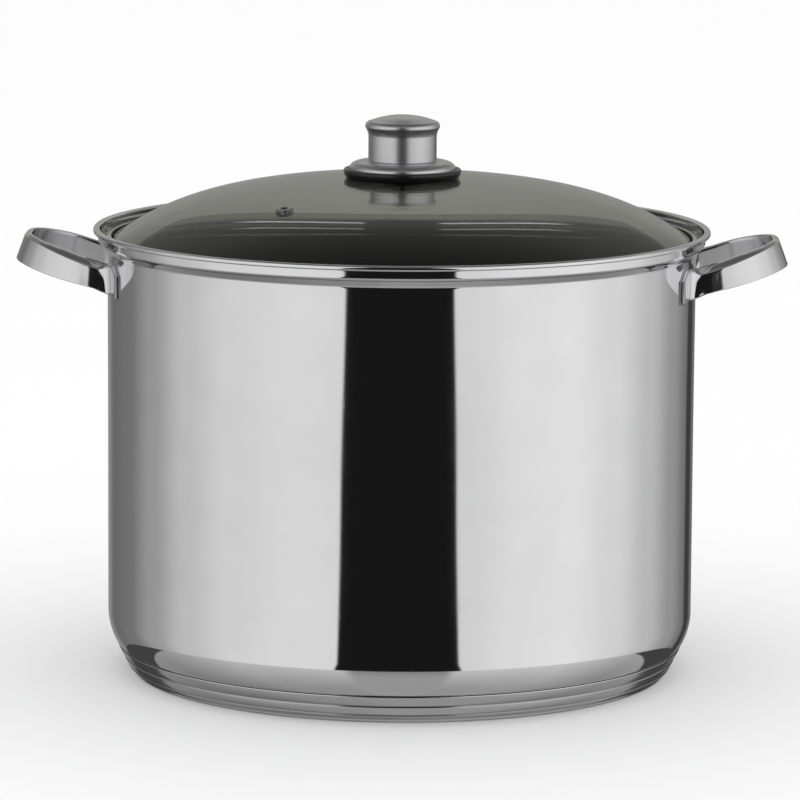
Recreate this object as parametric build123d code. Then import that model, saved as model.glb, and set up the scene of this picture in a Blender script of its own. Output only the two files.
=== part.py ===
from build123d import *
import math
import os

# A tall stock pot with a glass lid: drawn steel shell, encapsulated base, two looped steel
# handles and a domed lid with a steel band, a steam vent and a hollow steel knob.
# Millimetres, +Z up. The origin is the centre of the base's underside, and the handles lie on
# the X axis. Everything except the handles and the vent is turned about Z.

# Pot shell
MOUTH_RADIUS = 150.0           # inside of the straight wall
SHEET = 0.8                    # sheet of the drawn shell
FLOOR_UNDERSIDE = 6.5          # height of the shell's underside above the table
SEAM_HEIGHT = 14.7             # top edge of the base capsule
SEAM_INSET = 4.9               # how far the shell has curved in at the seam
CORNER_START = 31.6            # height where the wall starts to curve in
LEDGE_LOW = 218.3              # outer corner where the wall steps out to the lid ledge
LEDGE_HIGH = 222.5             # outer corner where the ledge meets the collar
COLLAR_RADIUS = 155.5          # outside of the collar
LIP_RADIUS = 158.15            # widest point of the rolled lip
LIP_INNER_RADIUS = 154.5
LIP_BOTTOM = 226.7
LIP_TOP = 229.35

# Base capsule and the aluminium disc inside it
CAPSULE_SHEET = 0.6
CAPSULE_RADIUS = 146.3         # at the seam
BASE_RADIUS = 138.4            # where the capsule turns under
GROOVES = [(140.9, 4.0), (143.2, 8.9)]
BAND_BULGE = 0.3               # how far each rounded band stands out of its chord
TURN_UNDER = 1.4               # radius where the capsule turns under
TURN_UNDER_HEIGHT = 1.0
CAPSULE_OVERLAP = 0.5          # how far the capsule and disc blanks pass the seam

# Lid glass: height of the upper surface at radius r is
# DOME_TOP - DOME_SQUARE * (r / MOUTH_RADIUS)^2 - DOME_FOURTH * (r / MOUTH_RADIUS)^4
DOME_TOP = 255.1
DOME_SQUARE = 10.6
DOME_FOURTH = 21.9
GLASS = 4.2
GLASS_RADIUS = 148.4
DOME_POINTS = 13

# Lid band
BAND_RADIUS = 151.6
BAND_INNER = 149.0
BAND_TOP = 225.2
BAND_SHEET = 0.6
BAND_BOTTOM = 217.9
BAND_FOOT_RADIUS = 149.6
BAND_FLANGE_INNER = 146.0
LEDGE_GAP = 0.35               # clearance between the band and the pot
TURN_GAP = 0.32                # clearance between the band and what turns inside it

# Vent
VENT_X = -56.8
VENT_Y = -77.9
VENT_HOLE = 1.8
EYELET_TUBE = 2.5
EYELET_FLANGE = 4.6
EYELET_SHEET = 0.6
VENT_WASHER_RADIUS = 4.4
VENT_WASHER_THICKNESS = 0.8

# Knob, all on the axis
GASKET_RADIUS = 30.2
GASKET_TOP = 259.5
GASKET_BOTTOM_RADIUS = 28.6     # where its side meets the glass
GASKET_WAIST = 256.6
GASKET_BROW = 258.2
GASKET_LIP = 2.0               # width of the raised lip round the plate
GASKET_SEAT = 258.6            # where the plate's rim rests inside the gasket's lip
PLATE_RADIUS = 27.3
PLATE_TOP = 263.4
PLATE_SHEET = 1.0
PLATE_RIM = 0.8                # upright edge of the plate
PLATE_ROUND = 5.8              # how far in the rounded brim reaches
PLATE_DISH = 1.6               # how far outside the neck the seat starts
NECK_RADIUS = 17.5
NECK_BOTTOM = 262.5
CAP_RADIUS = 19.2
CAP_TOP = 287.0
KNOB_SHEET = 1.0
NECK_TOP = 276.6
SHOULDER = (18.05, 278.6)
WAIST = (19.05, 280.6)
BULGE = (18.8, 282.6)
BROW = (16.8, 283.9)
SCREW_RADIUS = 2.5
SCREW_TIP = 274.0
SCREW_HEAD_RADIUS = 5.0
SCREW_HEAD_HEIGHT = 3.2
SCREW_HEAD_ROUND = 1.6
CROSS_LENGTH = 5.2
CROSS_WIDTH = 1.1
CROSS_DEPTH = 1.6
SCREW_HOLE = 3.1
INSERT_RADIUS = 6.0
INSERT_FLANGE_RADIUS = 10.0
INSERT_FLANGE = 1.6
INSERT_TOP = 275.5
WASHER_RADIUS = 9.0
WASHER_THICKNESS = 1.2
SEAL_RADIUS = 11.5
SEAL_THICKNESS = 1.6

# Handles: a channel of sheet bent into a D, tilted up. Its outer wall is the strap, its top is
# folded in over the grip, and its two ends are flattened and spot welded to the pot's wall
STRAP = 2.0                    # thickness of the flattened ends
GRIP = 6.5                     # thickness of the folded grip beside the feet
GRIP_END = 3.6                 # the same at the outer end
GRIP_SHEET = 1.4
GRIP_SWELL = 0.6               # how far the grip's outside stands out of the flattened ends
GRIP_OUTER_ROUND = 2.6
GRIP_INNER_ROUND = 1.0
STRAP_WIDTH_FOOT = 13.5        # upright height of the strap at the wall
STRAP_WIDTH_END = 14.8         # the same at the outer end
HANDLE_END = 193.6             # middle of the strap at the outer end, at mid width
HANDLE_END_HEIGHT = 219.2
HANDLE_FOOT_HEIGHT = 206.75    # mid height of the strap where it meets the wall
HANDLE_FOOT_X = 149.0
HANDLE_HALF_SPAN = 40.2        # half the distance between the two sides at the wall
HANDLE_HALF_END = 37.0         # the same at the outer corners, before rounding
HANDLE_CORNER = 34.0
HANDLE_LEAN = 20.0             # degrees that the strap leans in at its top
HANDLE_LEAN_RATIO = math.tan(math.radians(HANDLE_LEAN))
LOOP_START = 6.0               # how far inside the foot the loop's blank starts
TOP_FACE_RISE = 0.8            # upward share of the normal of the grip's top
REACH = 60.0                   # length of the blanks that are cut to shape
FOOT_BEND = 4.0                # inside radius of the bend from side to foot
FOOT_RUN = 4.0                 # length of flattened strap past the bend
FOOT_EDGE = 51.5               # half the distance between the outer edges of the two feet
FOOT_OUTLINE = [(30.0, 198.9), (43.5, 197.6), (49.6, 196.2), (51.7, 198.6), (51.7, 209.2),
                (44.5, 213.6), (30.0, 214.6)]
PAD_MIDDLE = 47.6              # distance of the weld pad from the handle's centre line
PAD_HEIGHT = 205.0
PAD_SIZE = (4.6, 9.0)
PAD_ROUND = 1.4
PAD_DEPTH = 0.45


def turned(outline):
    """Solid turned about Z from a closed outline given as radius and height."""
    return revolve(Plane.XZ * make_face(outline.edges()), Axis.Z)


def turned_face(face):
    return revolve(Plane.XZ * face, Axis.Z)


def polygon(points):
    return Polyline(*points, close=True)


def rounded(face, corners):
    """Rounds the corners of a flat face: each entry is a corner's position and its radius."""
    for position, radius in corners:
        corner = face.vertices().sort_by_distance(position)[0]
        face = fillet(corner, radius)
    return face


def ring(inner, outer, bottom, top):
    return turned(polygon([(inner, bottom), (outer, bottom), (outer, top), (inner, top)]))


# --- Pot shell ------------------------------------------------------------------------------

WALL_RADIUS = MOUTH_RADIUS + SHEET
SEAM_TURN = 2 * math.atan(SEAM_INSET / (CORNER_START - SEAM_HEIGHT))
UPPER_CORNER = (CORNER_START - SEAM_HEIGHT) / math.sin(SEAM_TURN)
LOWER_CORNER = (SEAM_HEIGHT - FLOOR_UNDERSIDE) / (1 - math.sin(SEAM_TURN))
UPPER_CENTRE = (WALL_RADIUS - UPPER_CORNER, CORNER_START)
LOWER_CENTRE = (
    WALL_RADIUS - SEAM_INSET - LOWER_CORNER * math.cos(SEAM_TURN),
    SEAM_HEIGHT + LOWER_CORNER * math.sin(SEAM_TURN),
)
LEDGE_ANGLE = math.atan2(LEDGE_HIGH - LEDGE_LOW, COLLAR_RADIUS - WALL_RADIUS)


def corner_line(inset):
    """The curve from floor to wall, inset from the shell's outside. Starts on the axis."""
    turn = math.degrees(SEAM_TURN)
    lower = CenterArc(LOWER_CENTRE, LOWER_CORNER - inset, -90, 90 - turn)
    upper = CenterArc(UPPER_CENTRE, UPPER_CORNER - inset, -turn, turn)
    floor = Line((0, FLOOR_UNDERSIDE + inset), lower @ 0)
    return [floor, lower, upper]


def ledge_point(radius, offset):
    """Point at this radius on the line that lies offset inside the ledge's outer surface."""
    along = (radius - WALL_RADIUS) * math.tan(LEDGE_ANGLE)
    return (radius, LEDGE_LOW + along + offset / math.cos(LEDGE_ANGLE))


def make_pot_shell():
    outer = corner_line(0)
    inner = corner_line(SHEET)
    collar_inner = COLLAR_RADIUS - SHEET
    rim = Polyline(
        outer[-1] @ 1,
        (WALL_RADIUS, LEDGE_LOW),
        (COLLAR_RADIUS, LEDGE_HIGH),
        (COLLAR_RADIUS, LIP_BOTTOM),
        (LIP_RADIUS, LIP_BOTTOM),
        (LIP_RADIUS, LIP_TOP),
        (LIP_INNER_RADIUS, LIP_TOP),
        (LIP_INNER_RADIUS, LIP_BOTTOM),
        (collar_inner, LIP_BOTTOM),
        ledge_point(collar_inner, SHEET),
        ledge_point(MOUTH_RADIUS, SHEET),
        inner[-1] @ 1,
    )
    axis_line = Line(outer[0] @ 0, inner[0] @ 0)
    face = make_face([*outer, rim.edges(), *inner, axis_line])
    face = rounded(face, [
        ((WALL_RADIUS, LEDGE_LOW), 2.2),
        ((COLLAR_RADIUS, LEDGE_HIGH), 1.8),
        ((COLLAR_RADIUS, LIP_BOTTOM), 0.4),
        ((LIP_RADIUS, LIP_BOTTOM), 1.1),
        ((LIP_RADIUS, LIP_TOP), 1.3),
        ((LIP_INNER_RADIUS, LIP_TOP), 1.2),
        (ledge_point(collar_inner, SHEET), 1.0),
        (ledge_point(MOUTH_RADIUS, SHEET), 3.0),
    ])
    return turned_face(face)


def pot_envelope():
    """The pot's lower part filled in solid, to cut the base to the shell's shape."""
    outer = corner_line(0)
    top = Polyline(outer[-1] @ 1, (0, CORNER_START), outer[0] @ 0)
    return turned_face(make_face([*outer, top.edges()]))


# --- Base -----------------------------------------------------------------------------------

def make_base():
    """The outer capsule and the aluminium disc that it presses against the shell."""
    turn_under = (BASE_RADIUS, TURN_UNDER_HEIGHT)
    stops = [turn_under, *GROOVES, (CAPSULE_RADIUS, SEAM_HEIGHT)]
    bands = [SagittaArc(low, high, -BAND_BULGE) for low, high in zip(stops, stops[1:])]
    flat_edge = BASE_RADIUS - TURN_UNDER
    under = ThreePointArc((flat_edge, 0), (flat_edge + 0.95, 0.28), turn_under)
    closing = Polyline(
        stops[-1],
        (CAPSULE_RADIUS - 3 * CAPSULE_OVERLAP, SEAM_HEIGHT + CAPSULE_OVERLAP),
        (0, SEAM_HEIGHT + CAPSULE_OVERLAP),
        (0, 0),
        under @ 0,
    )
    filled = turned_face(make_face([under, *bands, closing.edges()]))
    disc_outline = polygon([
        (0, CAPSULE_SHEET),
        (flat_edge, CAPSULE_SHEET),
        (GROOVES[0][0] - CAPSULE_SHEET, GROOVES[0][1] + BAND_BULGE),
        (GROOVES[1][0] - CAPSULE_SHEET, GROOVES[1][1] + BAND_BULGE),
        (CAPSULE_RADIUS - 3 * CAPSULE_OVERLAP, SEAM_HEIGHT - CAPSULE_OVERLAP),
        (0, SEAM_HEIGHT - CAPSULE_OVERLAP),
    ])
    envelope = pot_envelope()
    disc = turned(disc_outline)
    capsule = filled - disc - envelope
    return capsule, disc - envelope


# --- Lid ------------------------------------------------------------------------------------

def dome_height(radius):
    share = radius / MOUTH_RADIUS
    return DOME_TOP - DOME_SQUARE * share ** 2 - DOME_FOURTH * share ** 4


def dome_slope(radius):
    """Fall of the dome per millimetre outwards."""
    share = radius / MOUTH_RADIUS
    return (2 * DOME_SQUARE * share + 4 * DOME_FOURTH * share ** 3) / MOUTH_RADIUS


def dome_line(drop):
    """The dome's section from the axis to its edge, lowered by drop."""
    radii = [GLASS_RADIUS * i / (DOME_POINTS - 1) for i in range(DOME_POINTS)]
    return Spline([(r, dome_height(r) - drop) for r in radii],
                  tangents=[(1, 0), (1, -dome_slope(GLASS_RADIUS))])


def make_glass_blank():
    top = dome_line(0)
    bottom = dome_line(GLASS)
    edge = Line(top @ 1, bottom @ 1)
    axis_line = Line(top @ 0, bottom @ 0)
    face = make_face([top, edge, bottom, axis_line])
    face = rounded(face, [((GLASS_RADIUS, dome_height(GLASS_RADIUS)), 0.8)])
    return turned_face(face)


def band_inside(gap):
    """Outline of the room inside the band, kept this far from the band's sheet."""
    inset = BAND_SHEET + gap
    return polygon([
        (BAND_FLANGE_INNER, BAND_BOTTOM + inset),
        (BAND_FOOT_RADIUS - inset, BAND_BOTTOM + inset),
        (BAND_FOOT_RADIUS - inset, ledge_point(BAND_FOOT_RADIUS, SHEET + LEDGE_GAP + inset)[1]),
        ledge_point(BAND_RADIUS - inset, SHEET + LEDGE_GAP + inset),
        (BAND_RADIUS - inset, BAND_TOP - inset),
        (BAND_FLANGE_INNER, BAND_TOP - inset),
    ])


def make_band():
    """Channel of sheet round the glass, with a sloped shoulder that sits on the pot's ledge."""
    outline = make_face(polygon([
        (BAND_FLANGE_INNER, BAND_BOTTOM),
        (BAND_FOOT_RADIUS, BAND_BOTTOM),
        ledge_point(BAND_FOOT_RADIUS, SHEET + LEDGE_GAP),
        ledge_point(BAND_RADIUS, SHEET + LEDGE_GAP),
        (BAND_RADIUS, BAND_TOP),
        (BAND_FLANGE_INNER, BAND_TOP),
    ]).edges())
    outline = rounded(outline, [
        ((BAND_RADIUS, BAND_TOP), 0.9),
        ((BAND_FOOT_RADIUS, BAND_BOTTOM), 0.8),
    ])
    mouth = ring(BAND_FLANGE_INNER - 1, BAND_INNER, BAND_BOTTOM + BAND_SHEET, BAND_TOP + 1)
    return turned_face(outline) - turned(band_inside(0)) - mouth


def make_seal(glass):
    """Silicone ring that fills the band round the glass's edge."""
    room = turned(band_inside(TURN_GAP))
    inner_cut = ring(0, BAND_INNER - TURN_GAP, dome_height(BAND_INNER) - GLASS / 2, BAND_TOP + 1)
    return room - inner_cut - glass


def vent_plane(height):
    """Plane square to the dome at the vent, this far above the glass."""
    radius = math.hypot(VENT_X, VENT_Y)
    slope = dome_slope(radius)
    outward = (VENT_X / radius, VENT_Y / radius)
    normal = Vector(outward[0] * slope, outward[1] * slope, 1).normalized()
    point = Vector(VENT_X, VENT_Y, dome_height(radius)) + normal * height
    return Plane(origin=point, z_dir=normal)


def vent_disc(radius, bottom, top):
    return extrude(vent_plane(bottom) * Circle(radius), top - bottom)


def make_vent():
    """Eyelet through the glass, with its washer and rolled end below."""
    under = -GLASS * math.cos(math.atan(dome_slope(math.hypot(VENT_X, VENT_Y))))
    washer_bottom = under - VENT_WASHER_THICKNESS
    flange = vent_disc(EYELET_FLANGE, 0.05, 0.05 + EYELET_SHEET)
    upper_edge = flange.edges().filter_by(GeomType.CIRCLE).sort_by(Axis.Z)[-1]
    flange = fillet(upper_edge, EYELET_SHEET * 0.6)
    tube = vent_disc(EYELET_TUBE, washer_bottom - EYELET_SHEET, EYELET_SHEET)
    rolled = vent_disc(EYELET_TUBE + 0.9, washer_bottom - EYELET_SHEET, washer_bottom)
    bore = vent_disc(VENT_HOLE, washer_bottom - 2, 2)
    washer = vent_disc(VENT_WASHER_RADIUS, washer_bottom, under)
    glass_hole = vent_disc(EYELET_TUBE, -2 * GLASS, GLASS)
    return flange + tube + rolled - bore, washer - glass_hole, glass_hole


# --- Knob -----------------------------------------------------------------------------------

def make_knob_gasket(glass):
    """Moulded ring between the knob and the glass: it follows the dome and cups the plate."""
    foot = (GASKET_BOTTOM_RADIUS, dome_height(GASKET_BOTTOM_RADIUS) - 0.3)
    bottom = Line((0, DOME_TOP - GLASS / 2), foot)
    side = ThreePointArc(foot, (GASKET_RADIUS - 0.4, GASKET_WAIST), (GASKET_RADIUS, GASKET_BROW))
    lip_inside = GASKET_RADIUS - GASKET_LIP
    closing = Polyline(
        (GASKET_RADIUS, GASKET_BROW),
        (GASKET_RADIUS - 0.3, GASKET_TOP),
        (lip_inside, GASKET_TOP),
        (PLATE_RADIUS + 0.3, GASKET_SEAT),
        (0, GASKET_SEAT),
        bottom @ 0,
    )
    face = make_face([bottom, side, closing.edges()])
    face = rounded(face, [((GASKET_RADIUS - 0.3, GASKET_TOP), 0.8)])
    return turned_face(face) - glass - ring(0, SCREW_HOLE, DOME_TOP - GLASS, GASKET_TOP)


def brim_arc(start, end):
    """Rounded brim: upright where it starts and level where it ends."""
    across = (start[0] - end[0]) * math.cos(math.pi / 4)
    up = (end[1] - start[1]) * math.sin(math.pi / 4)
    return ThreePointArc(start, (end[0] + across, start[1] + up), end)


def make_knob_plate():
    """Dished saucer under the knob: a rounded brim and a shallow seat for the neck."""
    brim = PLATE_RADIUS - PLATE_ROUND
    dish = NECK_RADIUS + PLATE_DISH
    rim_top = GASKET_SEAT + PLATE_RIM
    outline = make_face([
        Line((0, GASKET_SEAT), (PLATE_RADIUS, GASKET_SEAT)),
        Line((PLATE_RADIUS, GASKET_SEAT), (PLATE_RADIUS, rim_top)),
        brim_arc((PLATE_RADIUS, rim_top), (brim, PLATE_TOP)),
        Line((brim, PLATE_TOP), (dish, PLATE_TOP)),
        Line((dish, PLATE_TOP), (NECK_RADIUS + PLATE_DISH / 3, NECK_BOTTOM)),
        Line((NECK_RADIUS + PLATE_DISH / 3, NECK_BOTTOM), (0, NECK_BOTTOM)),
        Line((0, NECK_BOTTOM), (0, GASKET_SEAT)),
    ])
    outline = rounded(outline, [((dish, PLATE_TOP), 0.7)])
    under = PLATE_TOP - PLATE_SHEET
    inside = make_face([
        Line((0, GASKET_SEAT), (PLATE_RADIUS - PLATE_SHEET, GASKET_SEAT)),
        brim_arc((PLATE_RADIUS - PLATE_SHEET, GASKET_SEAT), (brim, under)),
        Line((brim, under), (dish, under)),
        Line((dish, under), (NECK_RADIUS, NECK_BOTTOM - PLATE_SHEET)),
        Line((NECK_RADIUS, NECK_BOTTOM - PLATE_SHEET), (0, NECK_BOTTOM - PLATE_SHEET)),
        Line((0, NECK_BOTTOM - PLATE_SHEET), (0, GASKET_SEAT)),
    ])
    screw_hole = ring(0, SCREW_HOLE, GASKET_SEAT, NECK_BOTTOM)
    return turned_face(outline) - turned_face(inside) - screw_hole


def crown_arc(start, top):
    """Arc centred on the axis, from this point up to the top of the crown."""
    rise = top - start.Y
    radius = (start.X ** 2 + rise ** 2) / (2 * rise)
    first = math.degrees(math.atan2(start.Y - top + radius, start.X))
    return CenterArc((0, top - radius), radius, first, 90 - first)


def knob_line(inset):
    """The knob's outside from the neck's foot over the bulge to the top, inset by the sheet."""
    neck = Line((NECK_RADIUS - inset, NECK_BOTTOM), (NECK_RADIUS - inset, NECK_TOP))
    shoulder_middle = (SHOULDER[0] - inset, SHOULDER[1] - inset * 0.2)
    waist = (WAIST[0] - inset, WAIST[1])
    bulge_middle = (BULGE[0] - inset, BULGE[1])
    brow = (BROW[0] - inset * 0.9, BROW[1] - inset * 0.4)
    shoulder = ThreePointArc(neck @ 1, shoulder_middle, waist)
    bulge = ThreePointArc(waist, bulge_middle, brow)
    return [neck, shoulder, bulge, crown_arc(bulge @ 1, CAP_TOP - inset)]


def knob_filled(inset):
    line = knob_line(inset)
    closing = Polyline(line[-1] @ 1, (0, NECK_BOTTOM), line[0] @ 0)
    return turned_face(make_face([*line, closing.edges()]))


def make_knob_shell():
    return knob_filled(0) - knob_filled(KNOB_SHEET)


def make_knob_insert():
    """Threaded boss welded inside the knob, standing on the plate."""
    boss = ring(SCREW_RADIUS, INSERT_RADIUS, NECK_BOTTOM, INSERT_TOP)
    return boss + ring(SCREW_RADIUS, INSERT_FLANGE_RADIUS, NECK_BOTTOM, NECK_BOTTOM + INSERT_FLANGE)


def make_knob_fixings(glass_underside):
    """Silicone seal, steel washer and pan head screw that clamp the knob from below."""
    seal_bottom = glass_underside - SEAL_THICKNESS
    washer_bottom = seal_bottom - WASHER_THICKNESS
    head_bottom = washer_bottom - SCREW_HEAD_HEIGHT
    room = ring(SCREW_HOLE, SEAL_RADIUS, seal_bottom, glass_underside + 1)
    washer = ring(SCREW_RADIUS + 0.2, WASHER_RADIUS, washer_bottom, seal_bottom)
    shank = Pos(0, 0, washer_bottom) * Cylinder(
        SCREW_RADIUS, SCREW_TIP - washer_bottom, align=(Align.CENTER, Align.CENTER, Align.MIN))
    head_face = make_face(polygon([
        (0, head_bottom),
        (SCREW_HEAD_RADIUS, head_bottom),
        (SCREW_HEAD_RADIUS, washer_bottom),
        (0, washer_bottom),
    ]).edges())
    head_face = rounded(head_face, [((SCREW_HEAD_RADIUS, head_bottom), SCREW_HEAD_ROUND)])
    bar = Box(CROSS_LENGTH, CROSS_WIDTH, CROSS_DEPTH)
    cross = Pos(0, 0, head_bottom + CROSS_DEPTH / 2) * (bar + bar.rotate(Axis.Z, 90))
    screw = turned_face(head_face) + shank - cross
    return room, washer, screw


# --- Handles --------------------------------------------------------------------------------

def strap_band(path):
    """The strap's section in plan: the path thickened by half the strap on each side."""
    return make_face(offset(path, amount=STRAP / 2, side=Side.BOTH).edges())


def loop_region(outset, end_outset):
    """Area inside the loop's middle line moved out by this much, open towards the pot."""
    end_at_foot_height = HANDLE_END + HANDLE_LEAN_RATIO * (HANDLE_END_HEIGHT - HANDLE_FOOT_HEIGHT)
    end = end_at_foot_height + end_outset
    start = HANDLE_FOOT_X - LOOP_START
    outline = make_face(polygon([
        (start, HANDLE_HALF_SPAN + outset),
        (end, HANDLE_HALF_END + outset),
        (end, -HANDLE_HALF_END - outset),
        (start, -HANDLE_HALF_SPAN - outset),
    ]).edges())
    corners = [(end, HANDLE_HALF_END + outset), (end, -HANDLE_HALF_END - outset)]
    return rounded(outline, [(corner, HANDLE_CORNER + outset) for corner in corners])


def make_handle():
    """Right handle. Its loop is cut from a leaning prism, its feet from an upright one."""
    foot_radius = WALL_RADIUS + STRAP / 2
    slope = (HANDLE_END_HEIGHT - HANDLE_FOOT_HEIGHT) / (HANDLE_END - HANDLE_FOOT_X)
    outside = STRAP / 2 + GRIP_SWELL
    sheet = GRIP_SHEET
    blank = leaning_prism(loop_region(outside, outside)) & tilted_slab(slope, 0)
    blank = fillet(top_edges(blank), GRIP_OUTER_ROUND)
    outer_edges = top_edges(blank)
    opening = leaning_prism(loop_region(outside - GRIP, outside - GRIP_END))
    body = blank - opening
    inner_edges = [edge for edge in top_edges(body) if not is_among(edge, outer_edges)]
    body = fillet(inner_edges, GRIP_INNER_ROUND)
    hollow = (
        loop_region(outside - sheet, outside - sheet)
        - loop_region(outside - GRIP + sheet, outside - GRIP_END + sheet)
    )
    body = body - (leaning_prism(hollow) & tilted_slab(slope, sheet))
    wall = Cylinder(WALL_RADIUS, 2 * REACH, align=(Align.CENTER, Align.CENTER, Align.CENTER))
    body = body - Pos(0, 0, HANDLE_FOOT_HEIGHT) * wall
    feet = [make_foot(side, foot_radius) for side in (1, -1)]
    return body + feet[0] + feet[1]


def leaning_prism(face):
    """Prism on a plan outline, leaning in towards the pot as it rises."""
    start = Pos(HANDLE_LEAN_RATIO * REACH, 0, HANDLE_FOOT_HEIGHT - REACH) * face
    return extrude(start, amount=2 * REACH, dir=(-HANDLE_LEAN_RATIO, 0, 1))


def top_edges(body):
    """Edges round the grip's top, without the ones at its start inside the pot."""
    upward = [face for face in body.faces() if face.normal_at().Z > TOP_FACE_RISE]
    top = max(upward, key=lambda face: face.area)
    return [edge for edge in top.edges() if (edge @ 0.5).X > HANDLE_FOOT_X - LOOP_START + 1]


def is_among(edge, others):
    """Whether this edge's middle lies on the middle of one of the others."""
    return any((edge @ 0.5 - other @ 0.5).length < GRIP_SHEET for other in others)


def slab_edges(x, slope, lowered):
    """Bottom and top of the grip at this distance from the axis, its top lowered a little."""
    widening = (STRAP_WIDTH_END - STRAP_WIDTH_FOOT) / (HANDLE_END - HANDLE_FOOT_X)
    middle = HANDLE_FOOT_HEIGHT + slope * (x - HANDLE_FOOT_X)
    half = (STRAP_WIDTH_FOOT + widening * (x - HANDLE_FOOT_X)) / 2
    bottom = middle - half - (REACH if lowered else 0)
    return [(x, bottom), (x, middle + half - lowered)]


def tilted_slab(slope, lowered):
    """Slab that rises outwards with the handle and widens a little towards its outer end."""
    near = slab_edges(HANDLE_FOOT_X - REACH, slope, lowered)
    far = slab_edges(HANDLE_END + REACH, slope, lowered)
    outline = polygon([near[0], near[1], far[1], far[0]])
    return extrude(Plane.XZ * make_face(outline.edges()), amount=2 * REACH, both=True)


def make_foot(side, foot_radius):
    """One foot: the strap's end, bent out of the side and laid along the wall."""
    edge_angle = math.asin(FOOT_EDGE / foot_radius)
    bend = FOOT_BEND + STRAP / 2
    centre_y = HANDLE_HALF_SPAN + bend
    centre_x = math.sqrt((foot_radius + bend) ** 2 - centre_y ** 2)
    touch_angle = math.atan2(centre_y, centre_x)
    lying = ThreePointArc(
        polar(foot_radius, edge_angle),
        polar(foot_radius, (edge_angle + touch_angle) / 2),
        polar(foot_radius, touch_angle),
    )
    turn_start = math.degrees(touch_angle) + 180
    curl = CenterArc((centre_x, centre_y), bend, turn_start, 270 - turn_start)
    straight = Line((centre_x, HANDLE_HALF_SPAN), (centre_x + FOOT_RUN, HANDLE_HALF_SPAN - 0.3))
    plan = strap_band(Wire([lying.edges()[0], curl.edges()[0], straight.edges()[0]]))
    prism = extrude(Pos(0, 0, HANDLE_FOOT_HEIGHT - REACH) * plan, amount=2 * REACH)
    trim = extrude(Plane.YZ * make_face(polygon(FOOT_OUTLINE).edges()), amount=HANDLE_END)
    foot = (prism & trim) - pad_recess(foot_radius + STRAP / 2)
    return foot if side > 0 else foot.mirror(Plane.XZ)


def pad_recess(surface_radius):
    """The pressed rectangle of the spot weld on the foot's outside."""
    angle = math.asin(PAD_MIDDLE / surface_radius)
    outward = (math.cos(angle), math.sin(angle), 0)
    across = (-math.sin(angle), math.cos(angle), 0)
    bottom = (*polar(surface_radius - PAD_DEPTH, angle), PAD_HEIGHT)
    plane = Plane(origin=bottom, x_dir=across, z_dir=outward)
    return extrude(plane * RectangleRounded(*PAD_SIZE, PAD_ROUND), amount=4 * PAD_DEPTH)


def polar(radius, angle):
    return (radius * math.cos(angle), radius * math.sin(angle))


def save(shape, name):
    export_step(shape, "parts/" + name + ".step")


os.makedirs("parts", exist_ok=True)
pot_shell = make_pot_shell()
base_capsule, heat_spreader_disc = make_base()
handle_right = make_handle()
glass = make_glass_blank()
seal = make_seal(glass)
vent_eyelet, vent_washer, vent_hole = make_vent()
underside = dome_height(0) - GLASS
seal_room, screw_washer, knob_screw = make_knob_fixings(underside)

save(pot_shell, "pot_shell")
save(base_capsule, "base_capsule")
save(heat_spreader_disc, "heat_spreader_disc")
save(handle_right, "handle_right")
save(handle_right.mirror(Plane.YZ), "handle_left")
save(make_band(), "lid_rim_band")
save(seal, "lid_band_seal")
save(glass - vent_hole - ring(0, SCREW_HOLE, underside - 1, DOME_TOP + 1), "lid_glass")
save(vent_eyelet, "vent_eyelet")
save(vent_washer - glass, "vent_washer")
save(make_knob_gasket(glass), "knob_gasket")
save(make_knob_plate(), "knob_base_plate")
save(make_knob_shell(), "knob_shell")
save(make_knob_insert(), "knob_insert")
save(seal_room - glass, "lower_gasket")
save(screw_washer, "screw_washer")
save(knob_screw, "knob_screw")
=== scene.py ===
# Looks for the stock pot: turned steel and glass, folded-grip handles, materials and studio.
import math

import bmesh
import bpy
from mathutils import Euler, Matrix, Vector


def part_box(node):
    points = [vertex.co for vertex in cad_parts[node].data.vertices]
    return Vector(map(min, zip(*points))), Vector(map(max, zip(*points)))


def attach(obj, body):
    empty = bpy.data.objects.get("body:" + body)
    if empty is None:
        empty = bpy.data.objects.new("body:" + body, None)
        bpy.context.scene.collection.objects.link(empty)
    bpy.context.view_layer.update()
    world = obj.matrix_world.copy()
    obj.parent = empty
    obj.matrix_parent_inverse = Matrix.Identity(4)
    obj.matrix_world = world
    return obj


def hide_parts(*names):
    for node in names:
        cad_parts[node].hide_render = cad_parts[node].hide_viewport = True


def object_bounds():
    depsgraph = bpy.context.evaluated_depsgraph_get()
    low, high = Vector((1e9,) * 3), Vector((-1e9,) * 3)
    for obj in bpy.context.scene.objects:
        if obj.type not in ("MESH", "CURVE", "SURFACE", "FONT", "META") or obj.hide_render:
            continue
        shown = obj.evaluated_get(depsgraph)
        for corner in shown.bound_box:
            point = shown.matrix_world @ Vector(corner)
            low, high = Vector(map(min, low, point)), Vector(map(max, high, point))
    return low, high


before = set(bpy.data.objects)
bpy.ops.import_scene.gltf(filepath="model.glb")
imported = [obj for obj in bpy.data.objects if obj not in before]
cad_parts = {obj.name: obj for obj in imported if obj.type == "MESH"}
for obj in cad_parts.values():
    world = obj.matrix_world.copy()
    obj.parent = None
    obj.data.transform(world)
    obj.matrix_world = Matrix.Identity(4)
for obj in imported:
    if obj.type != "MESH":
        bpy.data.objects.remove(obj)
CAD_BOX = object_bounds()

MM = 0.001
SEGMENTS = 288                 # steps round a turned piece
ARC_STEP = 9.0                 # degrees turned by one step of a rounded corner
SUPPORT = 0.5                  # distance of the support point beside a corner, in millimetres

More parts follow.
